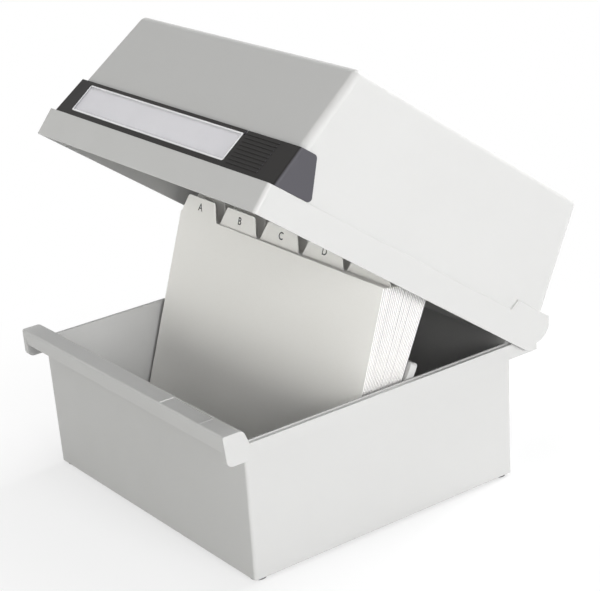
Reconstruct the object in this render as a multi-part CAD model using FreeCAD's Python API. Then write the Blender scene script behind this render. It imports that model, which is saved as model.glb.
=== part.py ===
import FreeCAD, Part

import math
import os

os.makedirs("parts", exist_ok=True)

# Index card box for cards of 210 x 148 mm, drawn with its lid propped half open.
# Millimetres. X runs across the box, the label side faces -Y, the hinge is at +Y,
# and Z is up from the surface that the feet stand on. While it is drawn, y = 0 is
# the middle of the trough; at the end everything is moved along Y, so that the
# origin lies under the middle of the whole open box.

# Cards
card_width = 210.0
card_height = 148.0
card_thickness = 0.4
tab_height = 12.0
tab_space = 2.0
tab_slant = 5.0
tab_corner = 2.0
tab_root = 1.5
tabs_in_row = 5
row_names = ("a_to_e", "f_to_j", "k_to_o", "p_to_t", "u_to_y")
front_lean = 18.7
lean_step = 0.284
foot_pitch = 0.72
front_space = 56.0
side_space = 1.6
head_space = 7.5
pack_inset = 0.5
row_gap = 0.1
card_gap = 0.2

# Trough
foot_height = 1.5
foot_radius = 5.0
foot_inset = 6.3
foot_seat_depth = 0.6
foot_seat_clearance = 0.15
foot_edge = 0.4
base_half_depth = 96.6
side_flare = 1.9
end_flare = 0.4
rim_height = 87.3
wall = 2.4
floor_thickness = 2.3
trough_corner = 2.0
trough_inner_corner = 1.0
base_edge = 0.6
rail_from_middle = 60.0
rail_width = 3.0
rail_height = 2.0
rail_end_gap = 8.0

# Rim, side bands and the bar across the front
band_height = 9.3
band_proud = 1.3
ridge_width = 1.2
ridge_height = 0.6
back_rise = 4.0
bar_reach = 14.2
bar_depth = 13.6
bar_rise = 9.0
bar_thickness = 2.0
bar_lip = 9.9
bar_lip_lean = 0.9
bar_end = 3.0
bar_front_round = 1.4
bar_back_round = 4.0
bar_end_round = 4.0
bar_end_flare = 1.3
field_left = 47.3
field_right = 87.2
field_depth = 0.4
field_ridge = 0.9
field_ridge_height = 0.2
field_front_edge = 1.2
field_back_edge = 2.9

# Lid, in its own frame: y from its lower front edge, z from its lower edge
lid_side_gap = 2.5
lid_front_gap = 2.1
lid_wall = 2.0
lid_band = 17.7
lid_apron_lean = 1.3
lid_ledge_front = 6.5
lid_ledge_side = 1.2
lid_side_lean = 5.1
lid_front_lean = 23.4
lid_back_lean = 6.9
lid_back_inset = 1.5
lid_edge = 5.0
lid_top_edge = 4.5
apron_corner = 2.5
lid_seat_gap = 0.3

# Hinge
hinge_behind = 14.9
hinge_above_lid_edge = 15.9
knuckle_radius = 12.2
knuckle_rise = 7.0
knuckle_reach = 23.2
knuckle_foot = 4.8
knuckle_slope = 2.6
knuckle_wrap = 46.0
ear_thickness = 3.0
ear_radius = 5.6
ear_slot_gap = 0.4
pin_radius = 2.5
pin_clearance = 0.05
pin_head_radius = 4.4
pin_head = 1.5
boss_radius = 7.0
boss_gap = 0.3
pin_in_lid = 3.0
pin_end_gap = 0.2
open_angle = 35.8
full_open_angle = 95.0
stop_gap = 0.4

# Label holder on the lid
holder_proud = 1.6
holder_side_proud = 1.0
holder_height = 24.6
holder_gap = 0.2
holder_side_low = 33.0
holder_side_high = 24.5
holder_corner = 2.5
holder_edge = 2.0
label_left_margin = 15.0
label_width = 164.5
label_low = 3.4
label_high = 23.4
label_hidden_edge = 1.4
label_corner = 1.2
label_thickness = 0.4
label_play = 0.1
window_thickness = 0.6
notch_width = 1.6
grip_gap = 3.5
grip_width = 29.5
grip_ribs = 9
grip_rib_width = 0.9
grip_rib_height = 0.35
grip_margin = 3.0

# Support plate behind the cards
plate_thickness = 1.5
plate_side_gap = 0.6
plate_foot_gap = 1.6
plate_over_rim = 9.7
plate_flange = 5.0
plate_corner = 2.0
plate_gap = 0.3
shoe_width = 12.0
shoe_length = 24.0
shoe_height = 4.5
slide_gap = 0.3

# How far a cutting shape reaches past what it cuts, and how deep a joined piece is rooted
over = 1.0
root = 0.5


def vec(x, y, z):
    return FreeCAD.Vector(x, y, z)


def save(shape, name):
    shape.exportStep("parts/" + name + ".step")


def box(x0, x1, y0, y1, z0, z1):
    return Part.makeBox(x1 - x0, y1 - y0, z1 - z0, vec(x0, y0, z0))


def disc(radius, x0, x1, y, z):
    """A round bar along X."""
    return Part.makeCylinder(radius, x1 - x0, vec(x0, y, z), vec(1, 0, 0))


def slab(x0, x1, outline):
    """A plate between two x values, with its outline given as (y, z) points."""
    points = [vec(x0, y, z) for y, z in outline]
    face = Part.Face(Part.makePolygon(points + points[:1]))
    return face.extrude(vec(x1 - x0, 0, 0))


def frustum(half_low, half_high, y_low, y_high, z_low, z_high):
    """A block with straight slanting sides: y_low and y_high are (front, back) pairs."""
    low = [(-half_low, y_low[0]), (half_low, y_low[0]), (half_low, y_low[1]), (-half_low, y_low[1])]
    high = [(-half_high, y_high[0]), (half_high, y_high[0]), (half_high, y_high[1]), (-half_high, y_high[1])]
    bottom = [vec(x, y, z_low) for x, y in low]
    top = [vec(x, y, z_high) for x, y in high]
    rings = [bottom[::-1], top]
    for i in range(4):
        j = (i + 1) % 4
        rings.append([bottom[i], bottom[j], top[j], top[i]])
    return Part.Solid(Part.Shell([Part.Face(Part.makePolygon(ring + ring[:1])) for ring in rings]))


def rises(edge):
    """True for an edge that climbs, like a corner between two walls."""
    a, b = edge.Vertexes[0].Point, edge.Vertexes[-1].Point
    return abs(a.z - b.z) > 1.0


def lies_at(edge, z):
    return all(abs(v.Point.z - z) < 1e-6 for v in edge.Vertexes)


def round_corners(solid, radius):
    return solid.makeFillet(radius, [e for e in solid.Edges if rises(e)])


def round_level(solid, radius, z):
    return solid.makeFillet(radius, [e for e in solid.Edges if lies_at(e, z)])


def round_along_x(solid, radius, y, z):
    """Rounds the edges along X that pass through a point given in y and z."""
    found = []
    for edge in solid.Edges:
        if all(abs(v.Point.y - y) < 1e-6 and abs(v.Point.z - z) < 1e-6 for v in edge.Vertexes):
            found.append(edge)
    return solid.makeFillet(radius, found)


# Places that follow from the sizes
base_half_width = card_width / 2 + side_space + wall
tab_pitch = card_width / tabs_in_row
tab_foot_width = tab_pitch - tab_space
tab_top_width = tab_foot_width - 2 * tab_slant
band_half_width = base_half_width + side_flare + band_proud
rim_half_depth = base_half_depth + end_flare
band_bottom = rim_height - band_height
floor_top = foot_height + floor_thickness
rail_top = floor_top + rail_height
back_face = rim_half_depth + band_proud
bar_front = -rim_half_depth - bar_reach
bar_back = bar_front + bar_depth
bar_top = rim_height + bar_rise
closed_lid_y = bar_front - lid_front_gap - lid_wall
closed_lid_z = bar_top + lid_seat_gap - (lid_band - lid_wall)
hinge_y = rim_half_depth + hinge_behind
hinge_z = closed_lid_z + hinge_above_lid_edge
card_floor = rail_top + card_gap


def wall_half_width(z):
    """Half the outer width of the trough at a height."""
    share = (z - foot_height) / (rim_height - foot_height)
    return base_half_width + side_flare * share


def trough_block(inset, z_low, z_high):
    """The trough's outer form, drawn in by an inset, between two heights."""
    half_low = wall_half_width(z_low) - inset
    half_high = wall_half_width(z_high) - inset
    deep_low = base_half_depth + end_flare * (z_low - foot_height) / (rim_height - foot_height) - inset
    deep_high = base_half_depth + end_flare * (z_high - foot_height) / (rim_height - foot_height) - inset
    return frustum(half_low, half_high, (-deep_low, deep_low), (-deep_high, deep_high), z_low, z_high)


def trough_bar():
    """The hollow bar across the front, with its lip turned down and its ends closed."""
    inner = -rim_half_depth + wall
    lip_foot = bar_front + bar_lip_lean
    lip_low = bar_top - bar_lip
    profile = [
        (bar_front, bar_top),
        (bar_back, bar_top),
        (inner, rim_height + ridge_height),
        (inner, band_bottom),
        (-rim_half_depth, band_bottom),
        (-rim_half_depth, rim_height),
        (bar_back - bar_thickness, bar_top - bar_thickness),
        (bar_front + bar_thickness, bar_top - bar_thickness),
        (lip_foot + bar_thickness, lip_low),
        (lip_foot, lip_low),
    ]
    end_profile = [
        (bar_front, bar_top),
        (bar_back, bar_top),
        (inner, rim_height + ridge_height),
        (inner, band_bottom),
        (lip_foot, band_bottom),
    ]

    def rounded(block):
        block = round_along_x(block, bar_front_round, bar_front, bar_top)
        return round_along_x(block, bar_back_round, bar_back, bar_top)

    bar = rounded(slab(-band_half_width, band_half_width, profile))
    low = band_half_width + bar_end_flare
    keep = frustum(low, band_half_width, (bar_front, inner), (bar_front, inner), band_bottom, bar_top)
    for side in (-1, 1):
        x0 = min(side * low, side * (band_half_width - bar_end))
        end = rounded(slab(x0, x0 + low - band_half_width + bar_end, end_profile))
        end = round_along_x(end, bar_end_round, lip_foot, band_bottom)
        bar = bar.fuse(end.common(keep))
    return bar


def trough_ear(side):
    """The wall's extension behind the box, which carries one hinge pin."""
    x0 = min(side * band_half_width, side * (band_half_width - ear_thickness))
    back = hinge_y + ear_radius
    slant = ear_radius * math.cos(math.radians(45))
    front = rim_half_depth - wall
    low = [(front, band_bottom), (back, band_bottom), (back, hinge_z), (hinge_y, hinge_z)]
    high = [(hinge_y - slant, hinge_z + slant), (rim_half_depth, rim_height), (front, rim_height)]
    plate = slab(x0, x0 + ear_thickness, low + high)
    ear = plate.fuse(disc(ear_radius, x0, x0 + ear_thickness, hinge_y, hinge_z))
    return ear.cut(disc(pin_radius, x0 - over, x0 + ear_thickness + over, hinge_y, hinge_z))


def make_trough():
    outer = round_corners(trough_block(0, foot_height, rim_height), trough_corner)
    outer = round_level(outer, base_edge, foot_height)
    rim = box(-band_half_width, band_half_width, -rim_half_depth, back_face, band_bottom, rim_height)
    ridge = trough_block(wall - ridge_width, rim_height - over, rim_height + ridge_height)
    hollow = round_corners(trough_block(wall, floor_top, rim_height + 2 * ridge_height), trough_inner_corner)
    trough = outer.fuse([rim, ridge]).cut(hollow)
    trough = trough.fuse([trough_bar(), trough_ear(-1), trough_ear(1)])
    back_half = band_half_width - ear_thickness + root
    rise_top = rim_height + back_rise
    back_ridge = box(-back_half, back_half, rim_half_depth - wall, rim_half_depth, band_bottom, rise_top)
    trough = trough.fuse(back_ridge)
    rail_reach = base_half_depth - wall - rail_end_gap
    for side in (-1, 1):
        x = side * rail_from_middle
        rail = box(x - rail_width / 2, x + rail_width / 2, -rail_reach, rail_reach, floor_top - root, rail_top)
        trough = trough.fuse(rail)
    front = bar_front + field_front_edge
    back = bar_back - field_back_edge
    trough = trough.cut(box(field_left, field_right, front, back, bar_top - field_depth, bar_top + over))
    for x in (field_left - field_ridge, field_right):
        ridge_top = bar_top + field_ridge_height
        trough = trough.fuse(box(x, x + field_ridge, front, back, bar_top - bar_thickness, ridge_top))
    for x, y in foot_places():
        seat = Part.makeCylinder(foot_radius + foot_seat_clearance, foot_seat_depth, vec(x, y, foot_height))
        trough = trough.cut(seat)
    return trough.removeSplitter()


def foot_places():
    x = base_half_width - foot_inset
    y = base_half_depth - foot_inset
    return [(-x, -y), (x, -y), (-x, y), (x, y)]


def make_foot(x, y):
    foot = Part.makeCylinder(foot_radius, foot_height + foot_seat_depth, vec(x, y, 0))
    return round_level(foot, foot_edge, 0)


def make_pin(side):
    """A headed hinge pin: its head lies inside the ear and its tip turns in the lid."""
    inner = band_half_width - ear_thickness
    tip = band_half_width + boss_gap + pin_in_lid - pin_end_gap
    if side > 0:
        pin = disc(pin_radius, inner, tip, hinge_y, hinge_z)
        head = disc(pin_head_radius, inner - pin_head, inner, hinge_y, hinge_z)
    else:
        pin = disc(pin_radius, -tip, -inner, hinge_y, hinge_z)
        head = disc(pin_head_radius, -inner, -inner + pin_head, hinge_y, hinge_z)
    return pin.fuse(head)


# The lid is drawn in its own frame and then put in place
pivot_y = hinge_y - closed_lid_y
pivot_z = hinge_above_lid_edge
lid_half_width = band_half_width + lid_side_gap + lid_wall
lid_depth = pivot_y + knuckle_foot
lid_height = card_floor + card_height + tab_height + head_space + lid_wall - closed_lid_z
ledge_half_width = lid_half_width - lid_ledge_side
knuckle_front = pivot_y - knuckle_reach


def place_on_lid(shape):
    """Takes a shape from the lid's frame to the half open lid."""
    placed = shape.copy()
    placed.translate(vec(0, closed_lid_y, closed_lid_z))
    placed.rotate(vec(0, hinge_y, hinge_z), vec(1, 0, 0), -open_angle)
    return placed


def front_y(z):
    """The lid's upper front face, in the lid's frame."""
    return lid_ledge_front + lid_front_lean * (z - lid_band) / (lid_height - lid_band)


def side_x(z):
    """Half the lid's width above the ledge."""
    return ledge_half_width - lid_side_lean * (z - lid_band) / (lid_height - lid_band)


def back_y(z):
    """The lid's back face above the knuckle, in the lid's frame."""
    return pivot_y - lid_back_inset + lid_back_lean * (lid_height - z) / (lid_height - lid_band)


def upper_block(inset, z_low, z_high, wider=0.0, further=0.0):
    """The lid's upper form between two heights, drawn in by an inset.

    It can be made wider at each side and brought further out at the front.
    """
    low = (front_y(z_low) + inset - further, back_y(z_low) - inset)
    high = (front_y(z_high) + inset - further, back_y(z_high) - inset)
    half_low = side_x(z_low) - inset + wider
    half_high = side_x(z_high) - inset + wider
    return frustum(half_low, half_high, low, high, z_low, z_high)


def knuckle_slab(inset, x0, x1):
    """The lid's lower back edge, rounded about the hinge axis."""
    radius = knuckle_radius - inset
    top = lid_band + knuckle_rise - inset
    front = knuckle_front + inset
    start = math.asin((top - pivot_z) / radius)
    finish = -math.radians(knuckle_wrap)

    def on_arc(angle):
        return vec(x0, pivot_y + radius * math.cos(angle), pivot_z + radius * math.sin(angle))

    corners = [vec(x0, y, z) for y, z in [(lid_depth - inset, 0), (front, 0), (front, lid_band - inset),
                                          (front + knuckle_slope, top)]]
    edges = Part.makePolygon([on_arc(finish)] + corners + [on_arc(start)]).Edges
    edges.append(Part.Arc(on_arc(start), on_arc((start + finish) / 2), on_arc(finish)).toShape())
    return Part.Face(Part.Wire(edges)).extrude(vec(x1 - x0, 0, 0))


def back_wall_reach():
    """How far below the hinge axis the middle of the back wall comes.

    Fully open, its lower edge meets the trough's back with a small gap.
    """
    angle = math.radians(full_open_angle)
    ahead = hinge_y - back_face - stop_gap
    behind = lid_depth - pivot_y
    return (ahead + behind * math.cos(angle)) / math.sin(angle)


def make_lid():
    upper = round_corners(upper_block(0, lid_band, lid_height), lid_edge)
    upper = round_level(upper, lid_top_edge, lid_height)
    knuckle = knuckle_slab(0, -lid_half_width, lid_half_width)
    band = frustum(lid_half_width, lid_half_width, (0, pivot_y), (lid_apron_lean, pivot_y), 0, lid_band)
    band = band.makeFillet(apron_corner, [e for e in band.Edges if rises(e) and e.CenterOfMass.y < pivot_y / 2])
    solid = upper.fuse([band, knuckle])

    inner_half = lid_half_width - lid_wall
    hollow = upper_block(lid_wall, lid_band - 2 * lid_wall, lid_height - lid_wall)
    hollow = round_corners(hollow, lid_edge - lid_wall)
    draft = lid_apron_lean
    under = frustum(inner_half, inner_half, (lid_wall, pivot_y), (lid_wall + draft, pivot_y), -over, lid_band - lid_wall)
    recess = knuckle_slab(lid_wall, -inner_half, inner_half)
    below = box(-inner_half, inner_half, pivot_y, lid_depth - lid_wall, -over, over)
    solid = solid.cut(hollow.fuse([under, recess, below]))

    ear_inner = band_half_width - ear_thickness
    reach = pivot_z - back_wall_reach()
    behind = lid_depth + knuckle_radius
    solid = solid.cut(box(-ear_inner, ear_inner, pivot_y, behind, -over, reach))
    slot_top = lid_band + knuckle_rise - lid_wall
    for side in (-1, 1):
        low = ear_inner - ear_slot_gap
        high = band_half_width + boss_gap
        x0 = min(side * low, side * high)
        solid = solid.cut(box(x0, x0 + high - low, pivot_y, behind, -over, slot_top))
        boss_low = min(side * high, side * (inner_half + root))
        boss = disc(boss_radius, boss_low, boss_low + inner_half + root - high, pivot_y, pivot_z)
        solid = solid.fuse(boss)
        bore_low = min(side * (high - over), side * (high + pin_in_lid))
        bore = disc(pin_radius + pin_clearance, bore_low, bore_low + pin_in_lid + over, pivot_y, pivot_z)
        solid = solid.cut(bore)
    return place_on_lid(solid.removeSplitter())


# Places on the lid's sloping front: x across, s up the slope and n out of it
slope_tilt = math.atan2(lid_front_lean, lid_height - lid_band)
slope_angle = math.degrees(slope_tilt)
label_left = label_left_margin - ledge_half_width
label_right = label_left + label_width
grip_left = label_right + grip_gap
grip_right = grip_left + grip_width
holder_top = (holder_gap + holder_height) / math.cos(slope_tilt) + over


def on_front(x0, x1, s0, s1, n0, n1, corner=0.0):
    """A block on the lid's front, given in x, s and n, with its corners rounded if asked."""
    block = box(x0, x1, -n1, -n0, s0, s1)
    if corner > 0:
        block = block.makeFillet(corner, [e for e in block.Edges if abs(e.tangentAt(0).y) > 0.9])
    block.rotate(vec(0, 0, 0), vec(1, 0, 0), -slope_angle)
    block.translate(vec(0, lid_ledge_front, lid_band))
    return block


def make_label_holder():
    """The clip that wraps the lid's front and both its sides, just above the ledge."""
    low = lid_band + holder_gap
    high = low + holder_height
    skin = upper_block(0, lid_band - over, lid_height, holder_side_proud, holder_proud / math.cos(slope_tilt))
    skin = round_corners(skin, holder_edge)
    core = round_corners(upper_block(0, lid_band - 2 * over, lid_height + over), lid_edge)
    side = [(-over, low), (holder_side_low, low), (holder_side_high, high), (-over, high)]
    wide = lid_half_width + over
    band = slab(-wide, wide, side)
    ends = [e for e in band.Edges if len(e.Vertexes) == 2 and abs(e.Length - 2 * wide) < 1e-6
            and e.CenterOfMass.y > 0]
    band = band.makeFillet(holder_corner, ends)
    holder = skin.common(band).cut(core)
    opening = on_front(label_left, label_right, label_low, label_high, -over, holder_proud + over,
                       label_corner)
    edge = label_hidden_edge
    pocket_depth = label_thickness + 2 * label_play
    pocket = on_front(label_left - edge - label_play, label_right + edge + label_play,
                      label_low - edge - label_play, holder_top, -over, pocket_depth)
    notch_x = label_right + edge
    notch = on_front(notch_x - notch_width / 2, notch_x + notch_width / 2, label_high - edge,
                     holder_top, -over, holder_proud + over)
    holder = holder.cut(opening.fuse([pocket, notch]))
    span = label_high - label_low + 2 * edge - grip_margin
    for i in range(grip_ribs):
        s = label_low - edge + grip_margin / 2 + span * i / (grip_ribs - 1)
        rib = on_front(grip_left, grip_right, s - grip_rib_width / 2, s + grip_rib_width / 2,
                       holder_proud - root, holder_proud + grip_rib_height)
        holder = holder.fuse(rib)
    return place_on_lid(holder.removeSplitter())


def make_label_window():
    depth = label_thickness + 2 * label_play
    top = depth + window_thickness
    window = on_front(label_left, label_right, label_low, label_high, depth, top, label_corner)
    return place_on_lid(window)


def make_label_card():
    edge = label_hidden_edge
    card = on_front(label_left - edge, label_right + edge, label_low - edge, label_high + edge,
                    label_play, label_play + label_thickness)
    return place_on_lid(card)


def card_lean(index):
    return front_lean + lean_step * index


def card_foot(index):
    return wall - base_half_depth + front_space + foot_pitch * index


def lean_back(shape, index, behind=0.0):
    """Leans a shape drawn upright at y = 0, z = 0 to the place of one divider."""
    placed = shape.copy()
    placed.translate(vec(0, behind, 0))
    placed.rotate(vec(0, 0, 0), vec(1, 0, 0), -card_lean(index))
    placed.translate(vec(0, card_foot(index), card_floor))
    return placed


def divider_outline(centre):
    half = card_width / 2
    foot = tab_foot_width / 2
    top = tab_top_width / 2
    tall = card_height + tab_height
    points = [(-half, 0), (half, 0), (half, card_height), (centre + foot, card_height), (centre + top, tall),
              (centre - top, tall), (centre - foot, card_height), (-half, card_height)]
    return [vec(x, 0, z) for x, z in points]


def make_divider(index):
    """One stiff card with its tab, the tabs stepping across the row."""
    column = index % tabs_in_row
    centre = tab_pitch * (column - (tabs_in_row - 1) / 2)
    points = divider_outline(centre)
    plate = Part.Face(Part.makePolygon(points + points[:1])).extrude(vec(0, card_thickness, 0))
    tips = [e for e in plate.Edges if abs(e.Length - card_thickness) < 1e-6
            and e.CenterOfMass.z > card_height + tab_height / 2]
    plate = plate.makeFillet(tab_corner, tips)
    roots = [e for e in plate.Edges if abs(e.Length - card_thickness) < 1e-6
             and lies_at(e, card_height) and abs(e.CenterOfMass.x) < card_width / 2 - tab_space]
    return lean_back(plate.makeFillet(tab_root, roots), index)


def make_pack(index, gap):
    """The loose cards between one divider and the next, as one wedge."""
    half = card_width / 2 - pack_inset
    tall = card_height - pack_inset
    lean = math.radians(card_lean(index))
    spread = math.tan(math.radians(lean_step))
    foot = foot_pitch * math.cos(lean) - spread * foot_pitch * math.sin(lean) - gap
    low = (foot + spread * pack_inset, pack_inset)
    high = (foot + spread * tall, tall)
    outline = [(card_thickness, pack_inset), low, high, (card_thickness, tall)]
    return lean_back(slab(-half, half, outline), index)


def make_support_plate():
    """The leaning plate behind the cards, on two shoes that ride the floor rails."""
    index = tabs_in_row * len(row_names)
    lean = math.radians(card_lean(index))
    lift = floor_top + slide_gap
    plate_top = rim_height + plate_over_rim
    rise = (plate_top - card_floor) / math.cos(lean)
    drop = (card_floor - lift) / math.cos(lean) + 2 * plate_thickness
    half_high = wall_half_width(rim_height) - wall - plate_side_gap
    half_low = wall_half_width(floor_top) - wall - plate_foot_gap
    corners = [(-half_low, -drop), (half_low, -drop), (half_high, rise), (-half_high, rise)]
    points = [vec(x, 0, z) for x, z in corners]
    face = Part.Face(Part.makePolygon(points + points[:1]))
    plate = face.extrude(vec(0, plate_flange, 0))
    tips = [e for e in plate.Edges if abs(e.Length - plate_flange) < 1e-6 and e.CenterOfMass.z > 0]
    plate = plate.makeFillet(plate_corner, tips)
    inner = [vec(x - math.copysign(plate_thickness, x), plate_thickness, z) for x, z in corners]
    inner[0].z -= plate_flange
    inner[1].z -= plate_flange
    inner[2].z -= plate_thickness
    inner[3].z -= plate_thickness
    hollow = Part.Face(Part.makePolygon(inner + inner[:1])).extrude(vec(0, 2 * plate_flange, 0))
    plate = lean_back(plate.cut(hollow), index, plate_gap)
    foot_y = card_foot(index) + plate_gap / math.cos(lean)
    shoe_y = foot_y + shoe_height * math.tan(lean)
    for side in (-1, 1):
        x = side * rail_from_middle
        shoe = box(x - shoe_width / 2, x + shoe_width / 2, shoe_y, shoe_y + shoe_length, lift, lift + shoe_height)
        plate = plate.fuse(shoe)
    reach = 2 * shoe_length
    keep = box(-half_high, half_high, card_foot(0), foot_y + reach + plate_top, lift, plate_top)
    plate = plate.common(keep)
    for side in (-1, 1):
        x = side * rail_from_middle
        groove = rail_width / 2 + slide_gap
        plate = plate.cut(box(x - groove, x + groove, card_foot(0), foot_y + reach, 0, rail_top + slide_gap))
    return plate.removeSplitter()


def build():
    """Every piece at rest, by name."""
    pieces = {"trough": make_trough()}
    corners = ("front_left", "front_right", "back_left", "back_right")
    for corner, (x, y) in zip(corners, foot_places()):
        pieces["foot_" + corner] = make_foot(x, y)
    pieces["hinge_pin_left"] = make_pin(-1)
    pieces["hinge_pin_right"] = make_pin(1)
    pieces["lid"] = make_lid()
    pieces["label_holder"] = make_label_holder()
    pieces["label_window"] = make_label_window()
    pieces["label_card"] = make_label_card()
    pieces["support_plate"] = make_support_plate()
    for row, name in enumerate(row_names):
        packs = []
        for column in range(tabs_in_row):
            index = row * tabs_in_row + column
            letter = chr(ord("a") + index)
            pieces["divider_" + letter] = make_divider(index)
            gap = row_gap if column == tabs_in_row - 1 else 0.0
            packs.append(make_pack(index, gap))
        pieces["cards_" + name] = Part.makeCompound(packs)
    return pieces


pieces = build()
whole = Part.makeCompound(list(pieces.values())).BoundBox
shift = -(whole.YMin + whole.YMax) / 2
for name, shape in pieces.items():
    shape.translate(vec(0, shift, 0))
    save(shape, name)

print("box", [round(v, 2) for v in (whole.XLength, whole.YLength, whole.ZLength)], "moved along Y by", round(shift, 3))
print("hinge axis at y", round(hinge_y + shift, 3), "z", round(hinge_z, 3))
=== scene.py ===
import math
import random

import bmesh
import bpy
from mathutils import Matrix, Vector
from mathutils.bvhtree import BVHTree


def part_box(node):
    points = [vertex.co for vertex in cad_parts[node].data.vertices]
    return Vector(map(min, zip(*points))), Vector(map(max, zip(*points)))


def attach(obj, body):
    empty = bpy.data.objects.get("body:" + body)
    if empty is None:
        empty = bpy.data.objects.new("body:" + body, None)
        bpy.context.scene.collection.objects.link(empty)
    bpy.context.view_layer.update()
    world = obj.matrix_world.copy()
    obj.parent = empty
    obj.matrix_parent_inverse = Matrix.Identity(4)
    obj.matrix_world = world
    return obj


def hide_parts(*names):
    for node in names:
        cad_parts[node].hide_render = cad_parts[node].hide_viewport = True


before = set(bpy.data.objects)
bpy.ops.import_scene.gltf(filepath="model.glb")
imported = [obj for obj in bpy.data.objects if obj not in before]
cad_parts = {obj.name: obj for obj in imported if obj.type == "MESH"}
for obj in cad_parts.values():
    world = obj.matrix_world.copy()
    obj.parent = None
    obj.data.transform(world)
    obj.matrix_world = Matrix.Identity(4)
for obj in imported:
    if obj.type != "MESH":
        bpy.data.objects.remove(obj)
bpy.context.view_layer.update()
scene = bpy.context.scene
scene.view_settings.view_transform = "Standard"
print("frame loaded:", len(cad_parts), "nodes")

mm = 0.001

# Camera at the photograph's viewing angle

cameraSettings = {
    "target": (0.035518, 0.0, 0.126176),  # y is counted from the middle of the feet
    "azimuth": 55.138,
    "elevation": 20.781,
    "roll": -4.468,
    "distance": 1.102549,
    "lens": 111.52,
    "sensor": 36,
    "nearest": 0.05,
    "farthest": 50,
}


# The way out from the object at an azimuth and an elevation in degrees, where azimuth 0 is in front
def awayAt(azimuth, elevation):
    turn = math.radians(azimuth)
    rise = math.radians(elevation)
    level = math.cos(rise)
    return Vector((math.sin(turn) * level, -math.cos(turn) * level, math.sin(rise)))


def makeCamera():
    s = cameraSettings
    back = awayAt(s["azimuth"], s["elevation"])
    right = Vector((0, 0, 1)).cross(back).normalized()
    up = back.cross(right)
    turn = Matrix.Rotation(math.radians(s["roll"]), 3, back)
    axes = Matrix((turn @ right, turn @ up, back)).transposed()
    data = bpy.data.cameras.new("photoCamera")
    data.lens = s["lens"]
    data.sensor_width = s["sensor"]
    data.clip_start = s["nearest"]
    data.clip_end = s["farthest"]
    camera = bpy.data.objects.new("photoCamera", data)
    middle = (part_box("foot_front_left")[0].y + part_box("foot_back_left")[1].y) / 2
    place = Vector(s["target"]) + Vector((0, middle, 0)) + back * s["distance"]
    camera.matrix_world = Matrix.Translation(place) @ axes.to_4x4()
    scene.collection.objects.link(camera)
    scene.camera = camera


makeCamera()

# Shader building


# Keyword names with a leading capital set inputs, the others set properties
def addNode(tree, kind, **values):
    node = tree.nodes.new(kind)
    for name, value in values.items():
        if name[0].isupper():
            node.inputs[name.replace("_", " ")].default_value = value
        else:
            setattr(node, name, value)
    return node


def newGroup(name, inputs, outputs):
    tree = bpy.data.node_groups.new(name, "ShaderNodeTree")
    for label, kind, start in inputs:
        socket = tree.interface.new_socket(label, in_out="INPUT", socket_type="NodeSocket" + kind)
        if start is not None:
            socket.default_value = start
    for label, kind in outputs:
        tree.interface.new_socket(label, in_out="OUTPUT", socket_type="NodeSocket" + kind)
    return tree, tree.nodes.new("NodeGroupInput"), tree.nodes.new("NodeGroupOutput")


# Links an input to a socket, or sets it to a value
def feed(tree, goal, value):
    if isinstance(value, bpy.types.NodeSocket):
        tree.links.new(value, goal)
    else:
        goal.default_value = value


# Brings a 0 to 1 value between two others, which are sockets or values
def stretch(tree, source, low, high):
    node = addNode(tree, "ShaderNodeMapRange")
    feed(tree, node.inputs["Value"], source)
    feed(tree, node.inputs["To Min"], low)
    feed(tree, node.inputs["To Max"], high)
    return node.outputs["Result"]


# A colour between two colours, which are sockets or values
def mixed(tree, factor, first, second):
    node = addNode(tree, "ShaderNodeMix", data_type="RGBA")
    for index, value in ((0, factor), (6, first), (7, second)):
        feed(tree, node.inputs[index], value)
    return node.outputs[2]


def times(tree, first, second):
    node = addNode(tree, "ShaderNodeMath", operation="MULTIPLY")
    feed(tree, node.inputs[0], first)
    feed(tree, node.inputs[1], second)
    return node.outputs[0]


# Moulded plastic: a fine spark-eroded grain, a faint flow mottle and duller patches
def makeGrainGroup():
    tree, given, made = newGroup(
        "mouldedGrain",
        [
            ("Vector", "Vector", None),
            ("Base", "Color", (0.7, 0.7, 0.7, 1)),
            ("Shade", "Color", (0.6, 0.6, 0.6, 1)),
            ("Grain Scale", "Float", 1800.0),
            ("Mottle", "Float", 0.3),
            ("Gloss", "Float", 0.35),
            ("Dull", "Float", 0.5),
        ],
        [("Color", "Color"), ("Roughness", "Float"), ("Height", "Float")],
    )
    grain = addNode(tree, "ShaderNodeTexNoise", Detail=3.0, Roughness=0.6)
    flow = addNode(tree, "ShaderNodeTexNoise", Scale=14.0, Detail=4.0, Roughness=0.55,
                   Distortion=0.6)
    handling = addNode(tree, "ShaderNodeTexNoise", Scale=55.0, Detail=5.0, Roughness=0.6)
    for node in (grain, flow, handling):
        tree.links.new(given.outputs["Vector"], node.inputs["Vector"])
    tree.links.new(given.outputs["Grain Scale"], grain.inputs["Scale"])
    patch = times(tree, flow.outputs["Fac"], given.outputs["Mottle"])
    color = mixed(tree, patch, given.outputs["Base"], given.outputs["Shade"])
    dullness = stretch(tree, handling.outputs["Fac"], given.outputs["Gloss"], given.outputs["Dull"])
    tree.links.new(color, made.inputs["Color"])
    tree.links.new(dullness, made.inputs["Roughness"])
    tree.links.new(grain.outputs["Fac"], made.inputs["Height"])
    return tree


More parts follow.
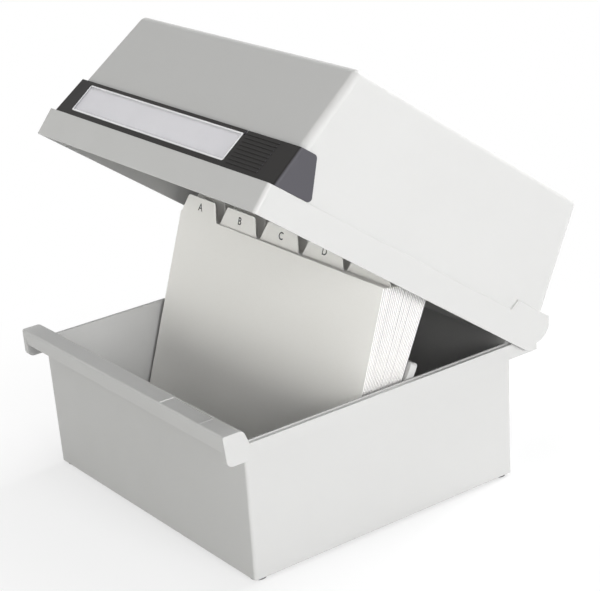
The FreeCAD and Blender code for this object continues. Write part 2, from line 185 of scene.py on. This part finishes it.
# Paper and card: short fibres both ways, and a soft cloudy formation
def makeFibreGroup():
    tree, given, made = newGroup(
        "paperFibre",
        [
            ("Vector", "Vector", None),
            ("Base", "Color", (0.9, 0.9, 0.88, 1)),
            ("Fibre", "Color", (0.8, 0.8, 0.78, 1)),
            ("Fibre Scale", "Float", 900.0),
            ("Strength", "Float", 0.4),
        ],
        [("Color", "Color"), ("Height", "Float")],
    )
    heights = []
    for squeeze in ((1.0, 1.0, 0.22), (0.22, 1.0, 1.0)):
        place = addNode(tree, "ShaderNodeMapping", Scale=squeeze)
        tree.links.new(given.outputs["Vector"], place.inputs["Vector"])
        fibres = addNode(tree, "ShaderNodeTexNoise", Detail=4.0, Roughness=0.7)
        tree.links.new(place.outputs["Vector"], fibres.inputs["Vector"])
        tree.links.new(given.outputs["Fibre Scale"], fibres.inputs["Scale"])
        heights.append(fibres.outputs["Fac"])
    cloud = addNode(tree, "ShaderNodeTexNoise", Scale=40.0, Detail=3.0)
    tree.links.new(given.outputs["Vector"], cloud.inputs["Vector"])
    both = times(tree, heights[0], heights[1])
    share = times(tree, times(tree, cloud.outputs["Fac"], both), given.outputs["Strength"])
    color = mixed(tree, share, given.outputs["Base"], given.outputs["Fibre"])
    tree.links.new(color, made.inputs["Color"])
    tree.links.new(both, made.inputs["Height"])
    return tree


grainGroup = makeGrainGroup()
fibreGroup = makeFibreGroup()


def newMaterial(name):
    material = bpy.data.materials.new(name)
    material.use_nodes = True
    tree = material.node_tree
    shader = tree.nodes["Principled BSDF"]
    coordinates = tree.nodes.new("ShaderNodeTexCoord")
    return material, tree, shader, coordinates.outputs["Object"]


def addBump(tree, shader, height, depth, strength):
    bump = addNode(tree, "ShaderNodeBump", Distance=depth, Strength=strength)
    tree.links.new(height, bump.inputs["Height"])
    tree.links.new(bump.outputs["Normal"], shader.inputs["Normal"])


# A colour written as it shows on screen, 0 to 255
def srgb(red, green, blue):
    parts = []
    for value in (red, green, blue):
        share = value / 255
        parts.append(share / 12.92 if share <= 0.04045 else ((share + 0.055) / 1.055) ** 2.4)
    return (*parts, 1.0)


plasticFinishes = {
    "troughPlastic": {
        "base": srgb(189, 189, 188),
        "shade": srgb(184, 184, 183),
        "grainScale": 1500.0,
        "mottle": 0.8,
        "gloss": 0.38,
        "dull": 0.52,
        "bump": 0.02 * mm,
        "specular": 0.4,
    },
    "lidPlastic": {
        "base": srgb(191, 191, 190),
        "shade": srgb(186, 186, 185),
        "grainScale": 1500.0,
        "mottle": 0.8,
        "gloss": 0.36,
        "dull": 0.5,
        "bump": 0.02 * mm,
        "specular": 0.4,
    },
    "holderPlastic": {
        # Painted highlight: a paler colour for the holder's sides, standing in for the light that
        # falls on them
        "paintedSideLight": srgb(74, 73, 78),
        "base": srgb(20, 18, 17),
        "shade": srgb(30, 28, 27),
        "grainScale": 2200.0,
        "mottle": 0.7,
        "gloss": 0.42,
        "dull": 0.56,
        "bump": 0.012 * mm,
        "specular": 0.22,
    },
    "footRubber": {
        "base": srgb(40, 40, 42),
        "shade": srgb(66, 66, 68),
        "grainScale": 900.0,
        "mottle": 1.0,
        "gloss": 0.7,
        "dull": 0.9,
        "bump": 0.06 * mm,
        "specular": 0.3,
    },
    "pinPlastic": {
        "base": srgb(196, 196, 194),
        "shade": srgb(182, 182, 181),
        "grainScale": 1800.0,
        "mottle": 0.6,
        "gloss": 0.3,
        "dull": 0.42,
        "bump": 0.015 * mm,
        "specular": 0.5,
    },
}


def makePlastic(name):
    s = plasticFinishes[name]
    material, tree, shader, place = newMaterial(name)
    grain = addNode(tree, "ShaderNodeGroup", node_tree=grainGroup)
    tree.links.new(place, grain.inputs["Vector"])
    for label, key in (("Base", "base"), ("Shade", "shade"), ("Grain Scale", "grainScale"),
                       ("Mottle", "mottle"), ("Gloss", "gloss"), ("Dull", "dull")):
        grain.inputs[label].default_value = s[key]
    color = grain.outputs["Color"]
    # Faces marked by an attribute take a paler colour, a painted side highlight
    if "paintedSideLight" in s:
        paintedSideLight = addNode(tree, "ShaderNodeAttribute", attribute_name="paintedSideLightShare")
        color = mixed(tree, paintedSideLight.outputs["Fac"], color, s["paintedSideLight"])
    tree.links.new(color, shader.inputs["Base Color"])
    tree.links.new(grain.outputs["Roughness"], shader.inputs["Roughness"])
    shader.inputs["Specular IOR Level"].default_value = s["specular"]
    addBump(tree, shader, grain.outputs["Height"], s["bump"], 1.0)
    return material


paperFinishes = {
    "labelPaper": {
        "base": srgb(238, 236, 240),
        "fibre": srgb(220, 218, 224),
        "scale": 1100.0,
        "strength": 1.4,
        "bump": 0.03 * mm,
        "roughness": 0.6,
        "specular": 0.3,
    },
    "dividerBoard": {
        "base": srgb(253, 252, 249),
        "fibre": srgb(242, 240, 235),
        "scale": 800.0,
        "strength": 1.2,
        "bump": 0.03 * mm,
        "roughness": 0.72,
        "specular": 0.3,
    },
    "indexCard": {
        "base": srgb(195, 194, 197),
        "fibre": srgb(187, 185, 189),
        "darkest": srgb(160, 157, 163),
        "scale": 1000.0,
        "strength": 1.2,
        "bump": 0.03 * mm,
        "roughness": 0.8,
        "specular": 0.3,
    },
}


# Paper or card, where a darkest colour in the settings makes one card differ from the next
def makePaper(name):
    s = paperFinishes[name]
    material, tree, shader, place = newMaterial(name)
    fibre = addNode(tree, "ShaderNodeGroup", node_tree=fibreGroup)
    tree.links.new(place, fibre.inputs["Vector"])
    for label, key in (("Base", "base"), ("Fibre", "fibre"), ("Fibre Scale", "scale"),
                       ("Strength", "strength")):
        fibre.inputs[label].default_value = s[key]
    color = fibre.outputs["Color"]
    if "darkest" in s:
        shade = addNode(tree, "ShaderNodeAttribute", attribute_name="cardShade")
        color = mixed(tree, shade.outputs["Fac"], color, s["darkest"])
    tree.links.new(color, shader.inputs["Base Color"])
    shader.inputs["Roughness"].default_value = s["roughness"]
    shader.inputs["Specular IOR Level"].default_value = s["specular"]
    addBump(tree, shader, fibre.outputs["Height"], s["bump"], 0.6)
    return material


clearFinishes = {
    "clearWindow": {
        "base": srgb(238, 240, 243),
        "smearScale": 60.0,
        "roughness": (0.04, 0.14),
        "cover": (0.10, 0.16),
        "specular": 0.6,
    },
    # Painted highlight: the window's rim is a real sloped ring, coloured near-white for the light
    # its edge catches
    "paintedHighlightRim": {
        "base": srgb(250, 250, 252),
        "smearScale": 220.0,
        "roughness": (0.16, 0.3),
        "cover": (0.86, 0.96),
        "specular": 0.6,
    },
}


# Clear plastic with faint smears, thin and clear in the window; its rim is near-white and nearly
# opaque, a painted highlight on the window's edge
def makeClear(name):
    s = clearFinishes[name]
    material, tree, shader, place = newMaterial(name)
    smear = addNode(tree, "ShaderNodeTexNoise", Scale=s["smearScale"], Detail=3.0)
    tree.links.new(place, smear.inputs["Vector"])
    for label, key in (("Roughness", "roughness"), ("Alpha", "cover")):
        tree.links.new(stretch(tree, smear.outputs["Fac"], *s[key]), shader.inputs[label])
    shader.inputs["Base Color"].default_value = s["base"]
    shader.inputs["Specular IOR Level"].default_value = s["specular"]
    return material


inkFinish = {
    "thick": srgb(20, 20, 22),
    "thin": srgb(44, 44, 47),
    "coverScale": 3000.0,
    "roughness": 0.6,
}


def makeInk():
    s = inkFinish
    material, tree, shader, place = newMaterial("printInk")
    cover = addNode(tree, "ShaderNodeTexNoise", Scale=s["coverScale"], Detail=2.0)
    tree.links.new(place, cover.inputs["Vector"])
    color = mixed(tree, cover.outputs["Fac"], s["thick"], s["thin"])
    tree.links.new(color, shader.inputs["Base Color"])
    shader.inputs["Roughness"].default_value = s["roughness"]
    return material


troughPlastic = makePlastic("troughPlastic")
lidPlastic = makePlastic("lidPlastic")
holderPlastic = makePlastic("holderPlastic")
footRubber = makePlastic("footRubber")
pinPlastic = makePlastic("pinPlastic")
labelPaper = makePaper("labelPaper")
dividerBoard = makePaper("dividerBoard")
indexCard = makePaper("indexCard")
clearWindow = makeClear("clearWindow")
paintedHighlightRim = makeClear("paintedHighlightRim")
printInk = makeInk()
print("materials made")

# Rigid shells: the moulded form with its edges broken


def addPiece(name, mesh, body, material):
    piece = bpy.data.objects.new(name, mesh)
    scene.collection.objects.link(piece)
    mesh.materials.clear()
    mesh.materials.append(material)
    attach(piece, body)
    return piece


edges = {
    "merge": 0.002 * mm,  # points nearer than this are one point
    "flat": math.radians(0.4),  # faces that meet flatter than this are one face
    "sharp": math.radians(28),  # edges with a greater turn are rounded
    "smooth": math.radians(40),  # edges with a smaller turn are shaded smooth
    "shortest": 2 * mm,
    "room": 2.2,  # a face has to reach this many radii away from its edge
    "turned": -0.2,  # a face that agrees less than this with the plain form is turned over
    "segments": 2,
    "mostRuns": 100,
    "radius": {
        "trough": 0.25 * mm,
        "lid": 0.25 * mm,
        "label_holder": 0.18 * mm,
        "label_window": 0.12 * mm,
        "support_plate": 0.2 * mm,
    },
}


# The form of a CAD node, with its triangles joined to whole faces
def plainForm(node):
    shape = bmesh.new()
    shape.from_mesh(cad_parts[node].data)
    bmesh.ops.remove_doubles(shape, verts=shape.verts, dist=edges["merge"])
    bmesh.ops.dissolve_limit(shape, angle_limit=edges["flat"], verts=shape.verts, edges=shape.edges)
    return shape


# The bend across an edge
def bend(edge):
    return edge.calc_face_angle(0)


def runLength(run):
    return sum(edge.calc_length() for edge in run)


# How far a face reaches away from one of its edges
def faceReach(face, edge):
    start = edge.verts[0].co
    along = (edge.verts[1].co - start).normalized()
    steps = [vert.co - start for vert in face.verts]
    return max((step - along * step.dot(along)).length for step in steps)


# The sharp edge that carries on past a corner without a turn, if there is one
def nextEdge(edge, corner, waiting):
    heading = (corner.co - edge.other_vert(corner).co).normalized()
    for other in corner.link_edges:
        if other in waiting:
            onward = (other.other_vert(corner).co - corner.co).normalized()
            if heading.angle(onward, math.pi) < edges["sharp"]:
                return other
    return None


# The sharp edges of a shape, grouped into the runs that they make
def edgeRuns(shape):
    waiting = {e for e in shape.edges if e.is_manifold and bend(e) > edges["sharp"]}
    ordered = sorted(waiting, key=lambda e: e.index)
    runs = []
    for first in ordered:
        if first not in waiting:
            continue
        waiting.discard(first)
        run = [first]
        for corner in first.verts:
            edge = first
            while True:
                onward = nextEdge(edge, corner, waiting)
                if onward is None:
                    break
                waiting.discard(onward)
                run.append(onward)
                corner = onward.other_vert(corner)
                edge = onward
        runs.append(run)
    return runs


# The edges of a run that have room for a rounding on both sides
def roomyEdges(run, radius):
    if runLength(run) < edges["shortest"]:
        return []
    reach = edges["room"] * radius
    roomy = [e for e in run if min(faceReach(f, e) for f in e.link_faces) > reach]
    return [e for e in roomy if len(roomy) == len(run) or e.calc_length() > edges["shortest"]]


# Counts the points that a rounding pulls off the form and the faces that it turns over
def faults(shape, form, radius):
    off = sum(form.find_nearest(vert.co)[3] > radius for vert in shape.verts)
    over = 0
    for face in shape.faces:
        plain = form.find_nearest(face.calc_center_median())[1]
        over += face.normal.dot(plain) < edges["turned"]
    return off + over


def bevelled(shape, numbers, radius):
    trial = shape.copy()
    trial.edges.ensure_lookup_table()
    bmesh.ops.bevel(trial, geom=[trial.edges[i] for i in numbers], affect="EDGES", offset=radius,
                    offset_type="OFFSET", segments=edges["segments"], profile=0.5, material=-1,
                    clamp_overlap=False)
    return trial


# Rounds the sharp edges, longest runs first, and leaves a run sharp where that would spoil the form
def breakEdges(shape, radius):
    form = BVHTree.FromBMesh(shape)
    shape.edges.index_update()
    runs = [roomyEdges(run, radius) for run in edgeRuns(shape)]
    runs = sorted((run for run in runs if run), key=lambda run: -runLength(run))
    allowed = faults(shape, form, radius)
    chosen = []
    kept = 0
    for run in runs[:edges["mostRuns"]]:
        wider = chosen + [e.index for e in run]
        trial = bevelled(shape, wider, radius)
        if faults(trial, form, radius) <= allowed:
            chosen = wider
            kept += 1
        trial.free()
    print("  rounded", kept, "of", len(runs), "runs of edges")
    return bevelled(shape, chosen, radius)


# The CAD node's form as whole faces, with its edges broken and its curves smooth
def cleanCopy(node):
    sharp = plainForm(node)
    shape = breakEdges(sharp, edges["radius"][node])
    sharp.free()
    for face in shape.faces:
        face.smooth = True
    for edge in shape.edges:
        edge.smooth = edge.is_manifold and bend(edge) < edges["smooth"]
    mesh = bpy.data.meshes.new(node)
    shape.to_mesh(mesh)
    shape.free()
    return mesh


def addRigid(name, node, body, material):
    piece = addPiece(name, cleanCopy(node), body, material)
    weigh = piece.modifiers.new("evenShading", "WEIGHTED_NORMAL")
    weigh.keep_sharp = True
    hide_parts(node)
    return piece


addRigid("troughShell", "trough", "trough", troughPlastic)
addRigid("lidShell", "lid", "lid", lidPlastic)
labelClip = addRigid("labelClip", "label_holder", "lid", holderPlastic)
addRigid("windowPane", "label_window", "lid", clearWindow)
addRigid("rearSupport", "support_plate", "support", troughPlastic)

# How squarely a face of the holder looks sideways where its painted side highlight starts and is
# full
paintedSideLight = {"from": 0.45, "to": 0.8}


# The holder's two sides are painted paler: a painted highlight for the light that falls on them
def markPaintedSideLight():
    shades = labelClip.data.attributes.new("paintedSideLightShare", "FLOAT", "FACE").data
    for face in labelClip.data.polygons:
        share = (abs(face.normal.x) - paintedSideLight["from"]) / (paintedSideLight["to"] - paintedSideLight["from"])
        shades[face.index].value = min(1.0, max(0.0, share))


markPaintedSideLight()

rim = {"inset": 0.2 * mm, "width": 1.0 * mm, "tall": 0.34 * mm, "clear": 0.02 * mm}


# A rim round the front of the clear window, just inside the holder's opening, highest at its outside
def addWindowRim():
    shape = plainForm("label_window")
    front = max((f for f in shape.faces if f.normal.y < 0), key=lambda f: f.calc_area())
    out = front.normal.copy()
    inset = {"faces": [front], "use_even_offset": True}
    bmesh.ops.inset_region(shape, thickness=rim["inset"], **inset)
    outer = front.verts[:]
    ring = bmesh.ops.inset_region(shape, thickness=rim["width"], **inset)["faces"]
    for vert in outer:
        vert.co += out * 0.5 * rim["tall"]
    bmesh.ops.delete(shape, geom=[f for f in shape.faces if f not in ring], context="FACES")
    bmesh.ops.solidify(shape, geom=shape.faces[:], thickness=-0.5 * rim["tall"])
    bmesh.ops.recalc_face_normals(shape, faces=shape.faces)
    bmesh.ops.translate(shape, verts=shape.verts, vec=out * rim["clear"])
    mesh = bpy.data.meshes.new("windowRim")
    shape.to_mesh(mesh)
    shape.free()
    # The rim's near-white colour is a painted highlight on the window's edge
    addPiece("windowRim", mesh, "lid", paintedHighlightRim)


addWindowRim()
print("rigid shells made")

# Pieces that keep their CAD form


def finishNode(node, material):
    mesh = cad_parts[node].data
    mesh.materials.clear()
    mesh.materials.append(material)


for corner in ("front_left", "front_right", "back_left", "back_right"):
    finishNode("foot_" + corner, footRubber)
for side in ("left", "right"):
    finishNode("hinge_pin_" + side, pinPlastic)
finishNode("label_card", labelPaper)

# Dividers, their letters and the loose cards between them

cards = {
    "rows": ("a_to_e", "f_to_j", "k_to_o", "p_to_t", "u_to_y"),
    "perRow": 5,
    "width": 210 * mm,
    "tall": 148 * mm,
    "tab": 12 * mm,
    "thick": 0.4 * mm,
    "inset": 0.5 * mm,
    "perWedge": 3,
    "fill": 0.96,  # the share of the room between two dividers that cards take up
    "narrower": 0.3 * mm,
    "shorter": 0.4 * mm,
    "sideways": 0.12,
    "shade": 0.8,
    "seed": 7,
}

letters = {
    "height": 4.7 * mm,
    "capShare": 0.7,  # the height of a capital in a font of size 1
    "weight": 0.09 * mm,
    "lift": 4.0 * mm,
    "ink": 0.012 * mm,
    "clear": 0.014 * mm,
}


# Where a divider stands and how it leans, found from its CAD box
def cardPlane(node):
    low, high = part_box(node)
    tall = cards["tall"] + cards["tab"]
    thick = cards["thick"]
    deep = high.y - low.y
    rise = high.z - low.z
    lean = math.asin((deep * tall - rise * thick) / (tall * tall - thick * thick))
    foot = Vector((0, low.y, high.z - tall * math.cos(lean)))
    return foot, lean


# Takes a shape drawn upright in x and z to a leaning card
def onCard(plane, offset=0.0):
    foot, lean = plane
    leaning = Matrix.Translation(foot) @ Matrix.Rotation(-lean, 4, "X")
    return leaning @ Matrix.Translation((0, offset, 0))


def addLetter(letter, column, plane, body):
    pitch = cards["width"] / cards["perRow"]
    curve = bpy.data.curves.new("letter", "FONT")
    curve.body = letter.upper()
    curve.size = letters["height"] / letters["capShare"]
    curve.align_x = "CENTER"
    curve.extrude = letters["ink"]
    curve.offset = letters["weight"]
    holder = bpy.data.objects.new("letter", curve)
    scene.collection.objects.link(holder)
    bpy.context.view_layer.update()
    mesh = bpy.data.meshes.new_from_object(holder)
    bpy.data.objects.remove(holder)
    centre = pitch * (column - (cards["perRow"] - 1) / 2)
    lift = cards["tall"] + letters["lift"]
    upright = Matrix.Rotation(math.radians(90), 4, "X")
    mesh.transform(Matrix.Translation((centre, 0, lift)) @ upright)
    mesh.transform(onCard(plane, -letters["clear"]))
    addPiece("letter_" + letter, mesh, body, printInk)


# A few loose cards that fan out between one divider and the next
def addWedge(shape, shadeLayer, front, back, rng):
    count = cards["perWedge"]
    footA, leanA = front
    footB, leanB = back
    room = (footB - footA).length * math.cos(leanA) - cards["thick"]
    for k in range(count):
        share = (k + 0.5) / count
        lean = leanA + (leanB - leanA) * share
        width = cards["width"] - 2 * cards["inset"] - rng.uniform(0, cards["narrower"])
        tall = cards["tall"] - cards["inset"] - rng.uniform(0, cards["shorter"])
        thick = room / count * cards["fill"]
        spread = tall * (leanB - leanA) / count * cards["fill"]
        made = bmesh.ops.create_cube(shape, size=1.0)["verts"]
        for vert in made:
            top = vert.co.z > 0
            depth = thick + (spread if top else 0.0)
            vert.co.x *= width
            vert.co.y *= depth
            vert.co.z = tall if top else cards["inset"]
        start = cards["thick"] + room * share
        aside = rng.uniform(-cards["sideways"], cards["sideways"]) * mm
        tilt = Matrix.Rotation(-(lean - leanA), 4, "X")
        place = onCard(front) @ Matrix.Translation((aside, start, 0)) @ tilt
        bmesh.ops.transform(shape, matrix=place, verts=made)
        shade = rng.random() ** 2
        for face in {f for v in made for f in v.link_faces}:
            face[shadeLayer] = shade * cards["shade"]


def addCards():
    rng = random.Random(cards["seed"])
    names = [chr(ord("a") + i) for i in range(len(cards["rows"]) * cards["perRow"])]
    planes = [cardPlane("divider_" + name) for name in names]
    (priorFoot, priorLean), (lastFoot, lastLean) = planes[-2:]
    planes.append((lastFoot + (lastFoot - priorFoot), lastLean + (lastLean - priorLean)))
    for row, rowName in enumerate(cards["rows"]):
        body = "row_" + rowName
        shape = bmesh.new()
        shadeLayer = shape.faces.layers.float.new("cardShade")
        for column in range(cards["perRow"]):
            index = row * cards["perRow"] + column
            finishNode("divider_" + names[index], dividerBoard)
            addLetter(names[index], column, planes[index], body)
            addWedge(shape, shadeLayer, planes[index], planes[index + 1], rng)
        mesh = bpy.data.meshes.new("looseCards_" + rowName)
        shape.to_mesh(mesh)
        shape.free()
        piece = addPiece("looseCards_" + rowName, mesh, body, indexCard)
        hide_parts("cards_" + rowName)


addCards()
print("dividers and cards made")

# Studio: a pale floor that fades to white, a wide lamp on the right and softer light elsewhere

studio = {
    "floorSize": 12.0,
    "floorColor": srgb(238, 238, 238),
    "floorMark": srgb(234, 234, 234),
    "whiteFrom": 0.10,  # from here to whiteTo, counted from the origin, the floor fades to white
    "whiteTo": 0.36,
    "whiteLeast": 0.62,
    "world": 0.11,
    "aim": 0.13,
    "away": 2.4,
    "lampSize": 1.2,
    "lamps": (
        {"name": "keyRight", "azimuth": 90, "elevation": 12, "power": 44.0, "color": (1, 1, 1)},
        {"name": "keyFront", "azimuth": 60, "elevation": 20, "power": 10.0, "color": (1, 1, 1)},
        {"name": "fillFront", "azimuth": 0, "elevation": 8, "power": 18.5, "color": (1, 1, 0.96)},
        {"name": "fillLeft", "azimuth": 300, "elevation": 18, "power": 4.5, "color": (1, 1, 0.97)},
        {"name": "overhead", "azimuth": 0, "elevation": 86, "power": 13.5, "color": (1, 1, 1)},
        {"name": "behind", "azimuth": 180, "elevation": 35, "power": 58.0, "color": (1, 1, 1)},
    ),
}


# What the camera and reflections see, as opposed to what lights the object
def seenMask(tree):
    rays = tree.nodes.new("ShaderNodeLightPath")
    seen = rays.outputs["Is Camera Ray"]
    for label in ("Is Glossy Ray", "Is Transmission Ray"):
        either = addNode(tree, "ShaderNodeMath", operation="MAXIMUM")
        tree.links.new(seen, either.inputs[0])
        tree.links.new(rays.outputs[label], either.inputs[1])
        seen = either.outputs[0]
    return seen


def makeFloorMaterial():
    material, tree, shader, place = newMaterial("studioFloor")
    tone = addNode(tree, "ShaderNodeTexNoise", Scale=1.5, Detail=2.0)
    tree.links.new(place, tone.inputs["Vector"])
    color = mixed(tree, tone.outputs["Fac"], studio["floorColor"], studio["floorMark"])
    tree.links.new(color, shader.inputs["Base Color"])
    shader.inputs["Roughness"].default_value = 0.9
    shader.inputs["Specular IOR Level"].default_value = 0.1
    reach = addNode(tree, "ShaderNodeVectorMath", operation="LENGTH")
    tree.links.new(place, reach.inputs[0])
    fade = addNode(tree, "ShaderNodeMapRange", interpolation_type="SMOOTHSTEP")
    tree.links.new(reach.outputs["Value"], fade.inputs["Value"])
    for label, key in (("From Min", "whiteFrom"), ("From Max", "whiteTo"),
                       ("To Min", "whiteLeast")):
        fade.inputs[label].default_value = studio[key]
    white = addNode(tree, "ShaderNodeEmission", Color=(1, 1, 1, 1), Strength=1.0)
    blend = tree.nodes.new("ShaderNodeMixShader")
    tree.links.new(times(tree, seenMask(tree), fade.outputs["Result"]), blend.inputs["Fac"])
    tree.links.new(shader.outputs[0], blend.inputs[1])
    tree.links.new(white.outputs[0], blend.inputs[2])
    tree.links.new(blend.outputs[0], tree.nodes["Material Output"].inputs["Surface"])
    return material


def addLamp(s):
    back = awayAt(s["azimuth"], s["elevation"])
    lamp = bpy.data.lights.new(s["name"], "AREA")
    lamp.shape = "DISK"
    lamp.size = studio["lampSize"]
    lamp.energy = s["power"]
    lamp.color = s["color"]
    holder = bpy.data.objects.new(s["name"], lamp)
    holder.location = back * studio["away"] + Vector((0, 0, studio["aim"]))
    holder.rotation_mode = "QUATERNION"
    holder.rotation_quaternion = back.to_track_quat("Z", "Y")
    scene.collection.objects.link(holder)


def makeStudio():
    shape = bmesh.new()
    bmesh.ops.create_grid(shape, x_segments=1, y_segments=1, size=studio["floorSize"] / 2)
    mesh = bpy.data.meshes.new("studioFloor")
    shape.to_mesh(mesh)
    shape.free()
    mesh.materials.append(makeFloorMaterial())
    floor = bpy.data.objects.new("studioFloor", mesh)
    scene.collection.objects.link(floor)

    world = bpy.data.worlds.new("studioWorld")
    scene.world = world
    world.use_nodes = True
    tree = world.node_tree
    background = tree.nodes["Background"]
    background.inputs["Color"].default_value = (1, 1, 1, 1)
    strength = stretch(tree, seenMask(tree), studio["world"], 1.0)
    tree.links.new(strength, background.inputs["Strength"])
    for s in studio["lamps"]:
        addLamp(s)


makeStudio()
print("studio made")
